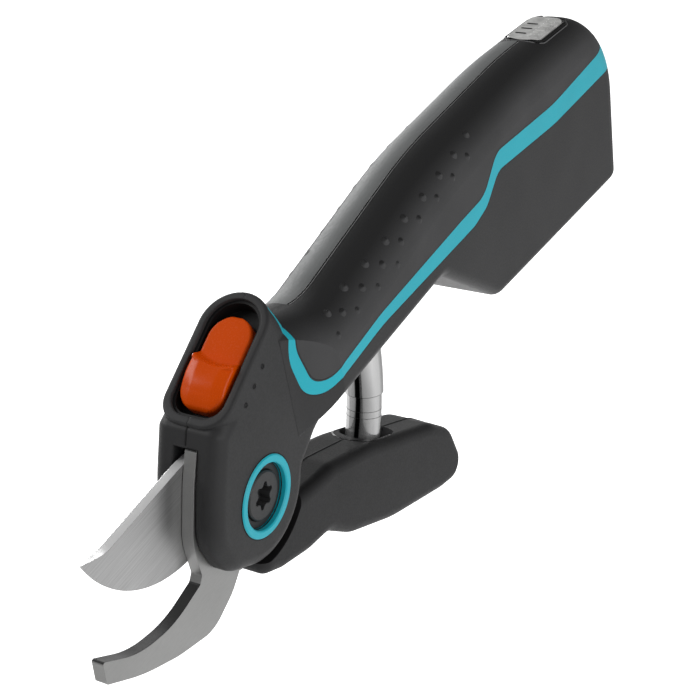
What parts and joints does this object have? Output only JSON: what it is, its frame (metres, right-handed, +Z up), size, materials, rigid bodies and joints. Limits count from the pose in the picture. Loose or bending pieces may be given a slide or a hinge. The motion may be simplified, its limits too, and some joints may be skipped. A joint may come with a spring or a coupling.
{
  "type": "battery pruner",
  "caption": "One-hand battery-assisted pruner with a hooked counter blade, curved cutting blade, squeeze lever on a telescopic sleeve, thumb slide and power button.",
  "frame": {"origin": "blade pivot, on the parting plane of the housing", "axes": "+X from the blades to the rear of the handle, +Z up through the handle's top, pivot axis along Y"},
  "size_m": [0.2675, 0.0246, 0.1046],
  "materials": {
    "housing_plastic": "fine satin texture",
    "soft_grip": "matt soft-touch",
    "palm_strip": "matt, fine grain",
    "trim_colour": "satin",
    "ring_colour": "satin",
    "fastener_steel": "blackened",
    "bronze": "turned",
    "hook_steel": "ground",
    "blade_steel": "brushed with a polished spine",
    "sleeve_chrome": "polished",
    "sleeve_dark": "polished",
    "spring_steel": "drawn wire",
    "strap_webbing": "woven",
    "pin_steel": "ground",
    "drum_metal": "turned",
    "gearbox_metal": "die-cast",
    "motor_can": "plated",
    "cell_wrap": "shrink wrap",
    "contact_metal": "plated spring strip",
    "circuit_board": "solder mask",
    "bezel_plastic": "gloss",
    "button_colour": "fine texture",
    "socket_plastic": "moulded",
    "flap_rubber": "matt",
    "tray_plastic": "moulded",
    "slider_colour": "satin",
    "lever_plastic": "fine satin texture",
    "core_metal": "die-cast",
    "screw_steel": "blackened"
  },
  "bodies": {
    "housing": {"housing_left_shell": "housing_plastic", "housing_right_shell": "housing_plastic", "grip_left": "soft_grip", "grip_right": "soft_grip", "palm_strip": "palm_strip", "stripe_left": "trim_colour", "stripe_right": "trim_colour", "pivot_ring_left": "ring_colour", "pivot_ring_right": "ring_colour", "pivot_bolt": "fastener_steel", "pivot_nut": "fastener_steel", "hook_blade": "hook_steel", "hook_pin_1": "pin_steel", "hook_pin_2": "pin_steel", "sleeve_upper_tube": "sleeve_chrome", "return_spring": "spring_steel", "gearbox_housing": "gearbox_metal", "drive_motor": "motor_can", "battery_cell": "cell_wrap", "cell_contact_front": "contact_metal", "cell_contact_rear": "contact_metal", "control_board": "circuit_board", "button_switch": "circuit_board", "button_bezel": "bezel_plastic", "button_spring": "spring_steel", "charge_socket": "socket_plastic", "slider_tray": "tray_plastic", "housing_screw_1": "screw_steel", "housing_screw_2": "screw_steel", "housing_screw_3": "screw_steel", "housing_screw_4": "screw_steel", "housing_screw_5": "screw_steel"},
    "lever": {"lever_left_shell": "lever_plastic", "lever_right_shell": "lever_plastic", "lever_core": "core_metal", "cutting_blade": "blade_steel", "pivot_washer": "bronze", "tang_pin_1": "pin_steel", "tang_pin_2": "pin_steel", "lever_screw_1": "screw_steel", "lever_screw_2": "screw_steel", "sleeve_lower_tube": "sleeve_chrome", "strap_pin": "pin_steel", "pull_strap": "strap_webbing"},
    "sleeve": {"sleeve_middle_tube": "sleeve_dark"},
    "drum": {"strap_drum": "drum_metal", "drum_shaft": "pin_steel"},
    "slider": {"safety_slider": "slider_colour"},
    "button": {"power_button": "button_colour"},
    "flap": {"port_flap": "flap_rubber"}
  },
  "joints": [
    {"name": "lever_pivot", "type": "hinge", "parent": "housing", "child": "lever", "pos_m": [0, 0, 0], "axis": [0, -1, 0], "range_deg": [0, 24], "stiffness_Nm_per_rad": 0.6, "springref_deg": -20.05, "deforming": ["return_spring", "pull_strap"]},
    {"name": "sleeve_travel", "type": "hinge", "parent": "housing", "child": "sleeve", "pos_m": [0, 0, 0], "axis": [0, -1, 0], "range_deg": [0, 12]},
    {"name": "drum_turn", "type": "hinge", "parent": "housing", "child": "drum", "pos_m": [0.05995, 0, 0.02241], "axis": [0, 1, 0], "range_deg": [0, 360]},
    {"name": "slider_slide", "type": "slide", "parent": "housing", "child": "slider", "axis": [0.8918, 0, 0.4524], "range_m": [0, 0.003]},
    {"name": "button_press", "type": "slide", "parent": "housing", "child": "button", "axis": [-0.108, 0, -0.9942], "range_m": [0, 0.0012], "stiffness_N_per_m": 600, "springref_m": -0.0008, "deforming": ["button_spring"]},
    {"name": "flap_hinge", "type": "hinge", "parent": "housing", "child": "flap", "pos_m": [0.2114, 0, -0.0162], "axis": [0, 1, 0], "range_deg": [0, 85]}
  ],
  "couplings": [
    {"joint": "sleeve_travel", "follows": "lever_pivot", "ratio": 0.5},
    {"joint": "drum_turn", "follows": "lever_pivot", "ratio": 15}
  ]
}
